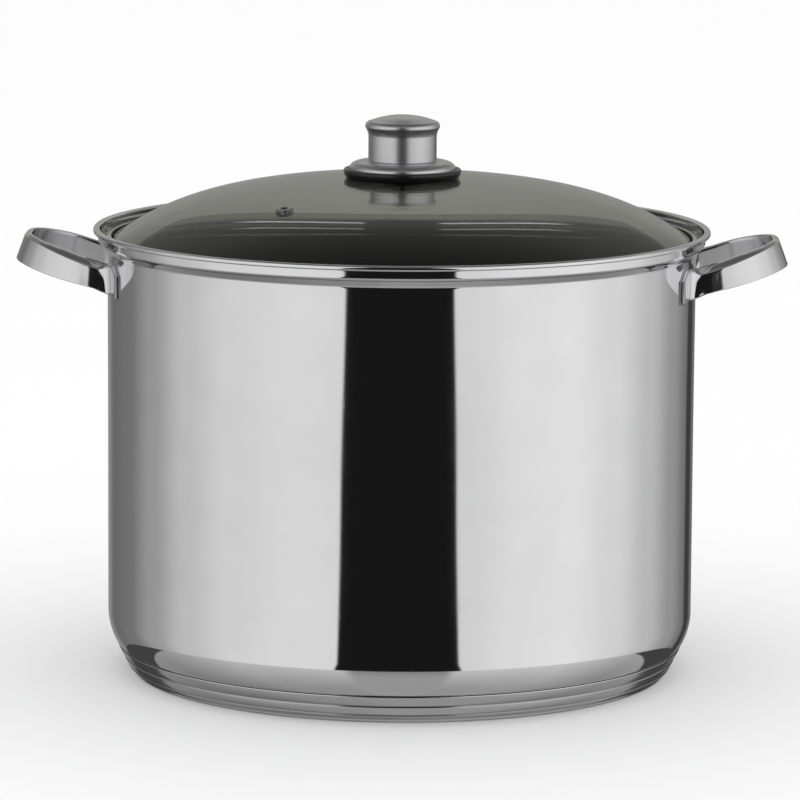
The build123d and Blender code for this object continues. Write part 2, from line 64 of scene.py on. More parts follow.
# The pot's own sizes, in millimetres. They are the CAD part's, apart from BAND_BULGE, GRIP_SHEET
# and PAD_DEPTH, which are a little less here.
LIP_MARGIN = 0.02              # keeps the lip inside the CAD part's box
LIP_RADIUS = min(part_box("pot_shell")[1][:2]) / MM - LIP_MARGIN
WALL_RADIUS = 150.8
SHEET = 0.8
FLOOR_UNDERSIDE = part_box("pot_shell")[0].z / MM
SEAM_HEIGHT = 14.7
SEAM_INSET = 4.9
CORNER_START = 31.6
LEDGE_LOW = 218.3
LEDGE_HIGH = 222.5
COLLAR_RADIUS = 155.5
LIP_INNER_RADIUS = 154.5
LIP_BOTTOM = 226.7
LIP_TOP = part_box("pot_shell")[1].z / MM
WALL_TOP = LEDGE_LOW - 2       # the plain wall ends here, below the ledge's bend
WALL_WAVE = 0.09               # scale of the wall's unevenness, which reaches 1.6 times this

CAPSULE_SHEET = 0.6
CAPSULE_RADIUS = 146.3
BASE_RADIUS = 138.4
GROOVES = [(140.9, 4.0), (143.2, 8.9)]
BAND_BULGE = 0.12
GROOVE_DEPTH = 0.32
SEAM_GAP = 0.35                # dark line between the capsule's edge and the shell

MOUTH_RADIUS = 150.0
DOME_TOP = 255.1
DOME_SQUARE = 10.6
DOME_FOURTH = 21.9
GLASS = 4.2
GLASS_RADIUS = 148.4
SCREW_HOLE = 3.1

BAND_RADIUS = 151.6
BAND_INNER = 149.0
BAND_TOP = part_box("lid_rim_band")[1].z / MM
BAND_SHEET = 0.6
BAND_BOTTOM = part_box("lid_rim_band")[0].z / MM
BAND_FOOT_RADIUS = 149.6
BAND_FLANGE_INNER = 146.0
LEDGE_GAP = 0.35

VENT_X = -56.8
VENT_Y = -77.9
EYELET_TUBE = 2.5
EYELET_HOLE = 1.8
EYELET_FLANGE = 4.6
EYELET_SHEET = 0.6

GASKET_RADIUS = 30.2
GASKET_TOP = 259.5
GASKET_SEAT = 258.6
GASKET_BOTTOM_RADIUS = 28.6
GASKET_WAIST = 256.6
GASKET_BROW = 258.2
PLATE_RADIUS = 27.3
PLATE_TOP = 263.4
PLATE_SHEET = 1.0
PLATE_RIM = 0.8
PLATE_ROUND = 5.8
PLATE_DISH = 1.6
NECK_RADIUS = 17.5
NECK_BOTTOM = 262.5
CAP_RADIUS = 19.2
CAP_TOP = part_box("knob_shell")[1].z / MM
KNOB_SHEET = 1.0
NECK_TOP = 276.6
SHOULDER_HEIGHT = 278.6
WAIST_HEIGHT = 280.6
BULGE_HEIGHT = 282.6
BROW_HEIGHT = 283.9

STRAP = 2.0
GRIP = 6.5
GRIP_END = 3.6
GRIP_SHEET = 1.2
GRIP_SWELL = 0.6
SIDE_LEAN = 0.63               # lean of the grip's sides, as a share of the lean at its end
HANDLE_END = 193.6
HANDLE_END_HEIGHT = 219.2
HANDLE_FOOT_HEIGHT = 206.75
HANDLE_FOOT_X = 149.0
HANDLE_HALF_SPAN = 40.2
HANDLE_HALF_END = 37.0
HANDLE_CORNER = 34.0
HANDLE_LEAN = 20.0
STRAP_WIDTH_FOOT = 13.5
STRAP_WIDTH_END = 14.8
EDGE_ROUND = 0.6
FOOT_BEND = 4.0
FOOT_EDGE = 51.5
PAD_MIDDLE = 47.6
PAD_HEIGHT = 205.0
PAD_SIZE = (4.6, 9.0)
PAD_DEPTH = 0.4
PAD_ROUND = 1.4
PAD_EDGE = 0.7                 # width over which the pad's recess falls away
FOOT_LOW = 197.9
FOOT_HIGH = 214.0
FOOT_DROP = 1.5                # how far the foot's lower edge comes down towards its end
FOOT_FALL = 4.6                # how far its upper edge comes down
FOOT_CORNER_START = 49.4       # the foot's corners are rounded beyond this
FOOT_CORNER = 2.4
CORNER_RISE = 2.6              # how far the lower corner's rounding rises
CORNER_FALL = 1.4              # how far the upper one comes down
END_THINNING = (0.62, 0.36, 0.18, 0.06)  # share of thickness lost by the foot's last rings
FOLD_START = 5.0               # distance before the bend's end where the channel begins
FOLD_RUN = 8.0                 # distance over which it opens out
TAPER_START = 4.0
TAPER_RUN = 50.0               # distance over which the grip thins to its end
CREASE_FOOT = 1.2              # drop of the outer crease below the top: foot, bend and end
CREASE_BEND = 4.4
CREASE_END = 1.7
FOOT_EDGE_ROUND = 1.3
SLOPE = (HANDLE_END_HEIGHT - HANDLE_FOOT_HEIGHT) / (HANDLE_END - HANDLE_FOOT_X)
LEAN = math.tan(math.radians(HANDLE_LEAN))


# --- Outlines: lists of (radius, height) in millimetres -------------------------------------

def arc(centre, radius, start, end, steps=None):
    """Points on an arc, its angles in degrees from the outward direction."""
    count = steps or max(2, round(abs(end - start) / ARC_STEP))
    angles = [math.radians(start + (end - start) * i / count) for i in range(count + 1)]
    return [(centre[0] + radius * math.cos(a), centre[1] + radius * math.sin(a)) for a in angles]


def rounded(corners, closed=True):
    """Outline through the corners (radius, height, rounding), each rounded by a tangent arc."""
    points = []
    count = len(corners)
    for i, (r, z, rounding) in enumerate(corners):
        here = Vector((r, z))
        before = Vector(corners[i - 1][:2]) - here
        after = Vector(corners[(i + 1) % count][:2]) - here
        if rounding == 0 or (not closed and i in (0, count - 1)):
            points.append((r, z))
            continue
        half = before.angle(after) / 2
        tangent = rounding / math.tan(half)
        middle = (before.normalized() + after.normalized()).normalized()
        centre = here + middle * (rounding / math.sin(half))
        first = here + before.normalized() * tangent
        last = here + after.normalized() * tangent
        a = math.atan2(first.y - centre.y, first.x - centre.x)
        b = math.atan2(last.y - centre.y, last.x - centre.x)
        turn = (b - a + math.pi) % (2 * math.pi) - math.pi
        a, turn = math.degrees(a), math.degrees(turn)
        points += support(here, before, tangent)
        points += arc(centre, rounding, a, a + turn)
        points += support(here, after, tangent)
    return points


def support(corner, side, tangent):
    """A point just past the arc on a long straight side, so that the shading stays flat there."""
    if side.length < tangent + 4 * SUPPORT:
        return []
    point = corner + side.normalized() * (tangent + SUPPORT)
    return [tuple(point)]


def curve_through(first, middle, last, steps=6):
    """Arc through three points, as a list of points."""
    (ax, ay), (bx, by), (cx, cy) = first, middle, last
    d = 2 * (ax * (by - cy) + bx * (cy - ay) + cx * (ay - by))
    a2, b2, c2 = ax * ax + ay * ay, bx * bx + by * by, cx * cx + cy * cy
    ux = (a2 * (by - cy) + b2 * (cy - ay) + c2 * (ay - by)) / d
    uy = (a2 * (cx - bx) + b2 * (ax - cx) + c2 * (bx - ax)) / d
    radius = math.hypot(ax - ux, ay - uy)
    start = math.degrees(math.atan2(ay - uy, ax - ux))
    end = math.degrees(math.atan2(cy - uy, cx - ux))
    turn = (end - start + 180) % 360 - 180
    return arc((ux, uy), radius, start, start + turn, steps)


# --- Meshes ---------------------------------------------------------------------------------

def finish_mesh(name, vertices, faces, body, nodes):
    """Makes a smooth-shaded piece that rides on a body and stands for its CAD node."""
    mesh = bpy.data.meshes.new(name)
    mesh.from_pydata([Vector(v) * MM for v in vertices], [], faces)
    tidy = bmesh.new()
    tidy.from_mesh(mesh)
    bmesh.ops.remove_doubles(tidy, verts=tidy.verts, dist=1e-7)
    bmesh.ops.recalc_face_normals(tidy, faces=tidy.faces)
    tidy.to_mesh(mesh)
    tidy.free()
    mesh.shade_smooth()
    piece = bpy.data.objects.new(name, mesh)
    bpy.context.scene.collection.objects.link(piece)
    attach(piece, body)
    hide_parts(*nodes)
    return piece


def turned(name, outline, body, nodes, place=None, ripple=None, segments=SEGMENTS):
    """Piece turned about Z from a closed outline. A ripple moves points in or out a little."""
    vertices = []
    rings = []
    for r, z in outline:
        if r < 1e-6:
            rings.append([len(vertices)] * segments)
            vertices.append((0, 0, z))
            continue
        rings.append(range(len(vertices), len(vertices) + segments))
        for i in range(segments):
            angle = 2 * math.pi * i / segments
            radius = r + (ripple(angle, r, z) if ripple else 0)
            vertices.append((radius * math.cos(angle), radius * math.sin(angle), z))
    faces = []
    for lower, upper in zip(rings, rings[1:] + rings[:1]):
        for i in range(segments):
            j = (i + 1) % segments
            corner = [lower[i], lower[j], upper[j], upper[i]]
            face = [v for k, v in enumerate(corner) if v != corner[k - 1]]
            if len(face) >= 3 and len(set(face)) == len(face):
                faces.append(face)
    if place:
        vertices = [place @ Vector(v) for v in vertices]
    return finish_mesh(name, vertices, faces, body, nodes)


# --- Pot ------------------------------------------------------------------------------------

SEAM_TURN = 2 * math.atan(SEAM_INSET / (CORNER_START - SEAM_HEIGHT))
UPPER_CORNER = (CORNER_START - SEAM_HEIGHT) / math.sin(SEAM_TURN)
LOWER_CORNER = (SEAM_HEIGHT - FLOOR_UNDERSIDE) / (1 - math.sin(SEAM_TURN))
LEDGE_SLOPE = (LEDGE_HIGH - LEDGE_LOW) / (COLLAR_RADIUS - WALL_RADIUS)
LEDGE_COS = math.cos(math.atan(LEDGE_SLOPE))


def corner_curve(inset):
    """The shell's curve from floor to wall, inset from its outside."""
    turn = math.degrees(SEAM_TURN)
    lower_centre = (WALL_RADIUS - SEAM_INSET - LOWER_CORNER * math.cos(SEAM_TURN),
                    SEAM_HEIGHT + LOWER_CORNER * math.sin(SEAM_TURN))
    upper_centre = (WALL_RADIUS - UPPER_CORNER, CORNER_START)
    lower = arc(lower_centre, LOWER_CORNER - inset, -90, -turn, 12)
    upper = arc(upper_centre, UPPER_CORNER - inset, -turn, 0, 16)
    flat = (lower[0][0] - 4 * SUPPORT, lower[0][1])
    if inset == 0:
        r, z = lower[-1]
        lower[-1:] = [(r - 0.75, z - SEAM_GAP - 0.2), (r - 0.6, z - 0.06), (r - 0.05, z - 0.02)]
    return [(0, FLOOR_UNDERSIDE + inset), flat] + lower + upper[1 if inset else 0:]


def ledge_height(radius, offset):
    """Height, at this radius, of the line that lies offset inside the ledge's outer surface."""
    return LEDGE_LOW + (radius - WALL_RADIUS) * LEDGE_SLOPE + offset / LEDGE_COS


def wall_wave(angle, r, z):
    """Slight unevenness of the drawn wall, almost none near the corner, ledge or handles."""
    if not WALL_RADIUS - 1.2 < r < WALL_RADIUS + 0.2 or not CORNER_START <= z <= WALL_TOP:
        return 0
    share = (z - CORNER_START) / (WALL_TOP - CORNER_START)
    wave = math.sin(5 * angle + 4.0 * share) + 0.6 * math.sin(9 * angle - 7.0 * share + 1.0)
    return -WALL_WAVE * math.sin(math.pi * share) ** 2 * (0.8 + 0.5 * wave)


def pot_shell():
    """The drawn shell: floor, corner, wall, ledge, collar and rolled lip."""
    collar_inner = COLLAR_RADIUS - SHEET
    outer = corner_curve(0)
    inner = corner_curve(SHEET)
    wall_steps = 24
    wall = [CORNER_START + (WALL_TOP - CORNER_START) * i / wall_steps
            for i in range(1, wall_steps)]
    rim = rounded([
        (WALL_RADIUS, LEDGE_LOW - 4, 0),
        (WALL_RADIUS, LEDGE_LOW, 2.2),
        (COLLAR_RADIUS, LEDGE_HIGH, 1.8),
        (COLLAR_RADIUS, LIP_BOTTOM, 0.35),
        (LIP_RADIUS, LIP_BOTTOM, 1.1),
        (LIP_RADIUS, LIP_TOP, 1.3),
        (LIP_INNER_RADIUS, LIP_TOP, 1.2),
        (LIP_INNER_RADIUS, LIP_BOTTOM, 0.1),
        (collar_inner, LIP_BOTTOM, 0.05),
        (collar_inner, ledge_height(collar_inner, SHEET), 1.0),
        (MOUTH_RADIUS, ledge_height(MOUTH_RADIUS, SHEET), 3.0),
        (MOUTH_RADIUS, ledge_height(MOUTH_RADIUS, SHEET) - 4, 0),
    ], closed=False)
    outline = outer + [(WALL_RADIUS, z) for z in wall] + rim
    outline += [(MOUTH_RADIUS, z) for z in reversed(wall)] + inner[::-1]
    return turned("pot_shell_polished", outline, "pot", ["pot_shell"],
                  ripple=wall_wave)


def base_capsule():
    """The outer capsule: three rounded bands parted by grooves, and a thin gap at the seam."""
    top = SEAM_HEIGHT - SEAM_GAP
    stops = [(BASE_RADIUS, 1.0), *GROOVES, (CAPSULE_RADIUS - 0.35, top - 0.15)]
    outer = [(0, 0), (BASE_RADIUS - 3, 0), (BASE_RADIUS - 1.4, 0)]
    outer += arc((BASE_RADIUS - 1.4, 1.4), 1.4, -80, -30, 5)[:-1]
    for low, high in zip(stops, stops[1:]):
        groove = GROOVE_DEPTH if low in GROOVES else 0
        start = (low[0] - groove, low[1])
        past = (low[0] - groove * 0.2, low[1] + 0.35)
        along = Vector(high) - Vector(low)
        out = Vector((along.y, -along.x)).normalized()
        middle = (Vector(low) + Vector(high)) / 2 + out * BAND_BULGE
        before = (high[0] - 0.15, high[1] - 0.35)
        outer += [start] + curve_through(past, tuple(middle), before, 8)
    edge = [(CAPSULE_RADIUS - 0.35, top - 0.12), (CAPSULE_RADIUS - 0.5, top),
            (CAPSULE_RADIUS - 1.6, top)]
    inner = [
        (GROOVES[1][0] - CAPSULE_SHEET - 0.6, GROOVES[1][1] + 0.3),
        (GROOVES[0][0] - CAPSULE_SHEET - 0.6, GROOVES[0][1] + 0.3),
        (BASE_RADIUS - 1.5, CAPSULE_SHEET),
        (0, CAPSULE_SHEET),
    ]
    return turned("base_capsule_banded", outer + edge + inner, "pot", ["base_capsule"])


# --- Lid ------------------------------------------------------------------------------------

def dome_height(radius):
    """Height of the glass's upper face at this radius."""
    share = radius / MOUTH_RADIUS
    return DOME_TOP - DOME_SQUARE * share ** 2 - DOME_FOURTH * share ** 4


def dome_slope(radius):
    """How steeply the dome falls at this radius."""
    share = radius / MOUTH_RADIUS
    return (2 * DOME_SQUARE * share + 4 * DOME_FOURTH * share ** 3) / MOUTH_RADIUS


def vent_place():
    """Turns and moves a piece turned about Z at the origin to stand square on the glass."""
    radius = math.hypot(VENT_X, VENT_Y)
    slope = dome_slope(radius)
    normal = Vector((VENT_X / radius * slope, VENT_Y / radius * slope, 1)).normalized()
    tilt = Vector((0, 0, 1)).rotation_difference(normal).to_matrix().to_4x4()
    return Matrix.Translation((VENT_X, VENT_Y, dome_height(radius))) @ tilt


def lid_glass():
    """The domed glass, with the hole for the vent cut in it."""
    rings = 72
    radii = [SCREW_HOLE + (GLASS_RADIUS - 0.9 - SCREW_HOLE) * i / rings for i in range(rings + 1)]
    top = [(r, dome_height(r)) for r in radii]
    bottom = [(r, dome_height(r) - GLASS) for r in reversed(radii)]
    edge_top = dome_height(GLASS_RADIUS)
    edge = [
        (GLASS_RADIUS - 0.35, edge_top + 0.12),
        (GLASS_RADIUS, edge_top - 0.5),
        (GLASS_RADIUS, edge_top - GLASS + 0.6),
        (GLASS_RADIUS - 0.3, edge_top - GLASS + 0.25),
    ]
    glass = turned("lid_glass_dome", top + edge + bottom, "lid", ["lid_glass"])
    cut_hole(glass, vent_place(), EYELET_TUBE + 0.02)
    return glass


def cut_hole(piece, place, radius):
    """Cuts a round hole square through the piece, in the mesh itself."""
    cutter_mesh = bpy.data.meshes.new("cutter")
    build = bmesh.new()
    bmesh.ops.create_cone(build, cap_ends=True, segments=48, radius1=radius * MM,
                          radius2=radius * MM, depth=20 * MM)
    build.to_mesh(cutter_mesh)
    build.free()
    cutter = bpy.data.objects.new("cutter", cutter_mesh)
    bpy.context.scene.collection.objects.link(cutter)
    cutter.matrix_world = Matrix.Translation(place.translation * MM) @ place.to_3x3().to_4x4()
    cut = piece.modifiers.new("hole", "BOOLEAN")
    cut.object = cutter
    cut.operation = "DIFFERENCE"
    cut.solver = "EXACT"
    bpy.context.view_layer.update()
    evaluated = piece.evaluated_get(bpy.context.evaluated_depsgraph_get())
    result = bpy.data.meshes.new_from_object(evaluated)
    piece.modifiers.remove(cut)
    piece.data = result
    result.set_sharp_from_angle(angle=math.radians(50))
    bpy.data.objects.remove(cutter)


def lid_band():
    """The steel channel round the glass's edge."""
    foot = ledge_height(BAND_FOOT_RADIUS, SHEET + LEDGE_GAP)
    shoulder = ledge_height(BAND_RADIUS, SHEET + LEDGE_GAP)
    inset = SHEET + LEDGE_GAP + BAND_SHEET
    inner_wall = BAND_RADIUS - BAND_SHEET
    foot_wall = BAND_FOOT_RADIUS - BAND_SHEET
    outline = rounded([
        (BAND_INNER, BAND_TOP, 0.25),
        (BAND_RADIUS, BAND_TOP, 0.9),
        (BAND_RADIUS, shoulder, 0.4),
        (BAND_FOOT_RADIUS, foot, 0.3),
        (BAND_FOOT_RADIUS, BAND_BOTTOM, 0.5),
        (BAND_FLANGE_INNER, BAND_BOTTOM, 0.2),
        (BAND_FLANGE_INNER, BAND_BOTTOM + BAND_SHEET, 0.2),
        (foot_wall, BAND_BOTTOM + BAND_SHEET, 0.1),
        (foot_wall, ledge_height(foot_wall, inset), 0.1),
        (inner_wall, ledge_height(inner_wall, inset), 0.1),
        (inner_wall, BAND_TOP - BAND_SHEET, 0.1),
        (BAND_INNER, BAND_TOP - BAND_SHEET, 0.2),
    ])
    return turned("lid_band_ring", outline, "lid_ring", ["lid_rim_band"])


def vent_eyelet():
    """Steam vent: a flange, a tube through the glass and its rolled end."""
    under = -GLASS * math.cos(math.atan(dome_slope(math.hypot(VENT_X, VENT_Y))))
    rolled = under - 0.8
    outline = rounded([
        (EYELET_HOLE, 0.05 + EYELET_SHEET + 0.1, 0.45),
        (EYELET_TUBE + 0.3, 0.05 + EYELET_SHEET + 0.1, 0.3),
        (EYELET_FLANGE, 0.05 + EYELET_SHEET * 0.7, 0.2),
        (EYELET_FLANGE, 0.05, 0.12),
        (EYELET_TUBE - 0.02, 0.05, 0.05),
        (EYELET_TUBE - 0.02, rolled, 0.05),
        (EYELET_TUBE + 0.9, rolled, 0.2),
        (EYELET_TUBE + 0.9, rolled - EYELET_SHEET, 0.25),
        (EYELET_HOLE, rolled - EYELET_SHEET, 0.3),
    ])
    return turned("vent_eyelet_rolled", outline, "lid", ["vent_eyelet"],
                  place=vent_place(), segments=64)


# --- Knob -----------------------------------------------------------------------------------

def knob_gasket():
    """Moulded ring that follows the dome, with a raised lip round the plate."""
    foot = (GASKET_BOTTOM_RADIUS, dome_height(GASKET_BOTTOM_RADIUS) + 0.01)
    under = [(r, dome_height(r) + 0.01) for r in (SCREW_HOLE + 0.1, 8.0, 14.0, 20.0, 26.0)]
    side = curve_through(foot, (GASKET_RADIUS - 0.4, GASKET_WAIST),
                         (GASKET_RADIUS - 0.02, GASKET_BROW))
    lip = rounded([
        (GASKET_RADIUS - 0.02, GASKET_BROW, 0),
        (GASKET_RADIUS - 0.3, GASKET_TOP, 0.75),
        (PLATE_RADIUS + 0.9, GASKET_TOP, 0.5),
        (PLATE_RADIUS + 0.3, GASKET_SEAT, 0.2),
        (SCREW_HOLE + 0.1, GASKET_SEAT, 0),
    ], closed=False)
    return turned("knob_gasket_moulded", under + side + lip[1:], "lid", ["knob_gasket"])


def brim_curve(start, end):
    """Points of a rounded brim from its level end back to its upright start, unrounded."""
    across = start[0] - end[0]
    up = end[1] - start[1]
    angles = [math.pi / 2 * (1 - i / 14) for i in range(15)]
    return [(end[0] + across * math.cos(a), start[1] + up * math.sin(a), 0) for a in angles]


def knob_plate():
    """The dished saucer under the knob, with a rounded brim."""
    brim = PLATE_RADIUS - PLATE_ROUND
    dish = NECK_RADIUS + PLATE_DISH
    outline = rounded([
        (SCREW_HOLE, NECK_BOTTOM, 0),
        (NECK_RADIUS + PLATE_DISH / 3, NECK_BOTTOM, 0.3),
        (dish, PLATE_TOP, 0.8),
        *brim_curve((PLATE_RADIUS, GASKET_SEAT + PLATE_RIM), (brim, PLATE_TOP)),
        (PLATE_RADIUS, GASKET_SEAT, 0.15),
        (PLATE_RADIUS - PLATE_SHEET, GASKET_SEAT, 0),
        *brim_curve((PLATE_RADIUS - PLATE_SHEET, GASKET_SEAT), (brim, PLATE_TOP - PLATE_SHEET))[::-1],
        (dish, PLATE_TOP - PLATE_SHEET, 0.4),
        (NECK_RADIUS, NECK_BOTTOM - PLATE_SHEET, 0.4),
        (SCREW_HOLE, NECK_BOTTOM - PLATE_SHEET, 0),
    ])
    return turned("knob_plate_dished", outline, "lid", ["knob_base_plate"])


def knob_outline(inset):
    """From the neck's foot over the bulge to the middle of the crown."""
    foot_lift = 0.0 if inset else 0.35
    points = [(NECK_RADIUS - inset - foot_lift, NECK_BOTTOM),
              (NECK_RADIUS - inset, NECK_BOTTOM + 2 * foot_lift),
              (NECK_RADIUS - inset, NECK_BOTTOM + 2 * foot_lift + SUPPORT)]
    points += [(NECK_RADIUS - inset, z) for z in (266.0, 270.0, 274.0, NECK_TOP - SUPPORT)]
    waist = (CAP_RADIUS - 0.15 - inset, WAIST_HEIGHT)
    brow = (CAP_RADIUS - 2.4 - inset * 0.9, BROW_HEIGHT - inset * 0.4)
    points += curve_through((NECK_RADIUS - inset, NECK_TOP),
                            (NECK_RADIUS + 0.55 - inset, SHOULDER_HEIGHT - inset * 0.2),
                            waist, 8)
    points += curve_through(waist, (CAP_RADIUS - 0.4 - inset, BULGE_HEIGHT), brow, 10)[1:]
    top = CAP_TOP - inset
    rise = top - brow[1]
    radius = (brow[0] ** 2 + rise ** 2) / (2 * rise)
    start = math.degrees(math.atan2(brow[1] - top + radius, brow[0]))
    crown = arc((0, top - radius), radius, start, 90, 14)
    return points + crown[1:-1] + [(0, top)]


def knob_shell():
    """The hollow knob."""
    outline = knob_outline(0) + knob_outline(KNOB_SHEET)[::-1]
    return turned("knob_brushed", outline, "lid", ["knob_shell"])


# --- Handles --------------------------------------------------------------------------------

def blend(low, high, share):
    """Smooth step from low to high as share goes from 0 to 1."""
    share = min(1.0, max(0.0, share))
    share = share * share * (3 - 2 * share)
    return low + (high - low) * share


def handle_path():
    """Half of the handle's middle line in plan, from the foot's edge to the outer end.

    Each entry is (x, y, direction of travel in radians, distance past the bend's end). The
    distance is negative on the foot and in the bend."""
    lie = WALL_RADIUS + STRAP / 2
    bend = FOOT_BEND + STRAP / 2
    centre_y = HANDLE_HALF_SPAN + bend
    centre_x = math.sqrt((lie + bend) ** 2 - centre_y ** 2)
    touch = math.atan2(centre_y, centre_x)
    edge = math.asin(FOOT_EDGE / lie)
    end_x = HANDLE_END
    taper = math.atan2(HANDLE_HALF_SPAN - HANDLE_HALF_END, end_x - centre_x)
    path = []
    for i in range(29):
        a = edge + (touch - edge) * i / 28
        path.append((lie * math.cos(a), lie * math.sin(a), a - math.pi / 2, -20.0))
    first = touch + math.pi
    last = 1.5 * math.pi - taper
    turn = bend * (last - first)
    for i in range(1, 21):
        a = first + (last - first) * i / 20
        path.append((centre_x + bend * math.cos(a), centre_y + bend * math.sin(a),
                     a + math.pi / 2, turn * (i / 20 - 1)))
    x, y = path[-1][:2]
    tangent = HANDLE_CORNER * math.tan((math.pi / 2 - taper) / 2)
    run = (end_x - x) / math.cos(taper) - tangent
    for i in range(1, 25):
        s = run * i / 24
        path.append((x + s * math.cos(taper), y - s * math.sin(taper), -taper, s))
    x, y = path[-1][:2]
    corner_x = x - HANDLE_CORNER * math.sin(taper)
    corner_y = y - HANDLE_CORNER * math.cos(taper)
    for i in range(1, 49):
        turned_by = (math.pi / 2 - taper) * i / 48
        a = math.pi / 2 - taper - turned_by
        path.append((corner_x + HANDLE_CORNER * math.cos(a),
                     corner_y + HANDLE_CORNER * math.sin(a), a - math.pi / 2,
                     run + HANDLE_CORNER * turned_by))
    x, y, heading, along = path[-1]
    path += [(x, y * (1 - i / 4), -math.pi / 2, along + y * i / 4) for i in range(1, 5)]
    return path


def foot_edges(y):
    """Bottom and top of the foot at this distance from the handle's centre line."""
    past = max(0.0, (y - FOOT_CORNER_START) / FOOT_CORNER)
    corner = math.sqrt(max(0.0, 1 - past ** 2))
    bottom = FOOT_LOW - blend(0, FOOT_DROP, (y - 43) / 6.0) + CORNER_RISE * (1 - corner)
    top = FOOT_HIGH - blend(0, FOOT_FALL, (y - 43.5) / 8.0) - CORNER_FALL * (1 - corner)
    return bottom, top


def pad_depth(across, up):
    """Depth of the weld pad's recess at this distance from its middle."""
    half_w, half_h = PAD_SIZE[0] / 2, PAD_SIZE[1] / 2
    dx = max(0.0, abs(across) - half_w + PAD_ROUND)
    dz = max(0.0, abs(up) - half_h + PAD_ROUND)
    outside = math.hypot(dx, dz) - PAD_ROUND
    return blend(0, PAD_DEPTH, 0.5 - outside / PAD_EDGE)


def strap_outline(low, high, grip, thick, swell, drop, edge):
    """Closed section of the handle as (distance outwards, height).

    The grip is an upside-down channel: outer wall, folded top that starts lower outside by
    drop, inner wall. Where grip is 0 it is a flat strap."""
    outside = STRAP / 2 + swell
    inside = outside - thick
    inner_round = 0.5 + 0.5 * grip
    sheet = GRIP_SHEET * grip + thick / 2 * (1 - grip)
    crease = high - drop
    steps = 44
    outline = [(outside, low + edge + (crease - low - edge) * i / steps)
               for i in range(steps + 1)]
    top_in = inside + inner_round
    outline += bezier((outside, crease), (outside, crease + 0.62 * drop),
                      (outside - 0.42 * (outside - top_in), high), (top_in, high), 12)
    outline += arc((top_in, high - inner_round), inner_round, 90, 180, 5)[1:]
    outline += [(inside, high - inner_round + (low + EDGE_ROUND - high + inner_round) * i / 8)
                for i in range(1, 9)]
    outline += arc((inside + EDGE_ROUND, low + EDGE_ROUND), EDGE_ROUND, 180, 270, 3)[1:]
    roof = low + max(0.0, high - drop * 0.6 - sheet - low) * grip
    hollow = [(inside + sheet, low), (inside + sheet, roof - 0.8 * grip),
              (inside + sheet + 0.8 * grip, roof), (outside - sheet - 0.8 * grip, roof),
              (outside - sheet, roof - 0.8 * grip), (outside - sheet, low)]
    outline += hollow
    outline += arc((outside - edge, low + edge), edge, 270, 360, 3)[:-1]
    return outline


def bezier(a, b, c, d, count):
    """Points on a cubic curve, without its first one."""
    points = []
    for i in range(1, count + 1):
        t = i / count
        weights = ((1 - t) ** 3, 3 * t * (1 - t) ** 2, 3 * t * t * (1 - t), t ** 3)
        points.append(tuple(sum(w * p[k] for w, p in zip(weights, (a, b, c, d)))
                            for k in (0, 1)))
    return points


def strap_ring(point):
    """Vertices round the handle's section at one point of its path."""
    x, y, heading, along = point
    outward = Vector((-math.sin(heading), math.cos(heading), 0))
    fold = (along + FOLD_START) / FOLD_RUN
    taper = (along - TAPER_START) / TAPER_RUN
    grip = blend(0, 1, fold)
    thick = blend(STRAP, blend(GRIP, GRIP_END, taper), fold)
    swell = blend(0, GRIP_SWELL, along / FOLD_RUN)
    drop = blend(CREASE_FOOT, CREASE_BEND, (along + FOLD_START) / 7.0)
    drop = blend(drop, CREASE_END, (along - TAPER_START) / 40.0)
    edge = blend(FOOT_EDGE_ROUND, EDGE_ROUND, fold)
    rise = 1 + SLOPE * LEAN * blend(0, 1, (along - 20.0) / 30.0)
    middle = HANDLE_FOOT_HEIGHT + SLOPE * (x - HANDLE_FOOT_X)
    widening = (STRAP_WIDTH_END - STRAP_WIDTH_FOOT) / (HANDLE_END - HANDLE_FOOT_X)
    width = (STRAP_WIDTH_FOOT + widening * (x - HANDLE_FOOT_X)) / rise
    foot_low, foot_high = foot_edges(abs(y))
    low = blend(foot_low, middle - width / 2, (along + 6.0) / 12.0)
    high = blend(foot_high, middle + width / 2, (along + 6.0) / 12.0)
    side_share = blend(SIDE_LEAN, 1, taper)
    lean = LEAN * side_share * blend(0, 1, (along + 4.0) / 10.0)
    on_foot = along < -10
    ring = []
    for out, z in strap_outline(low, high, grip, thick, swell, drop, edge):
        if on_foot and out > STRAP / 2 - 0.01:
            out -= pad_depth(abs(y) - PAD_MIDDLE, z - PAD_HEIGHT)
        leaned = out - lean * (z - middle)
        ring.append(Vector((x, y, z)) + outward * leaned)
    return ring


def thinned(ring, share):
    """The ring drawn in by a share towards its middle plane, for the thinned end of the foot."""
    middle = sum(ring, Vector()) / len(ring)
    return [v.lerp(Vector((middle.x, middle.y, v.z)), share) for v in ring]


def handle(name, sign, node):
    """A handle with a folded grip. sign is 1 for the right handle and -1 for the left one."""
    half_rings = [strap_ring(point) for point in handle_path()]
    for i, share in enumerate(END_THINNING):
        half_rings[i] = thinned(half_rings[i], share)
    mirrored = [[Vector((v.x, -v.y, v.z)) for v in ring] for ring in half_rings[:-1]]
    rings = half_rings + mirrored[::-1]
    vertices = [Vector((sign * v.x, v.y, v.z)) for ring in rings for v in ring]
    size = len(rings[0])
    faces = []
    for i in range(len(rings) - 1):
        for j in range(size):
            k = (j + 1) % size
            faces.append([i * size + j, i * size + k, (i + 1) * size + k, (i + 1) * size + j])
    faces.append(list(range(size)))
    faces.append(list(range((len(rings) - 1) * size, len(rings) * size)))
    return finish_mesh(name, vertices, faces, "pot", [node])


# --- Materials ------------------------------------------------------------------------------

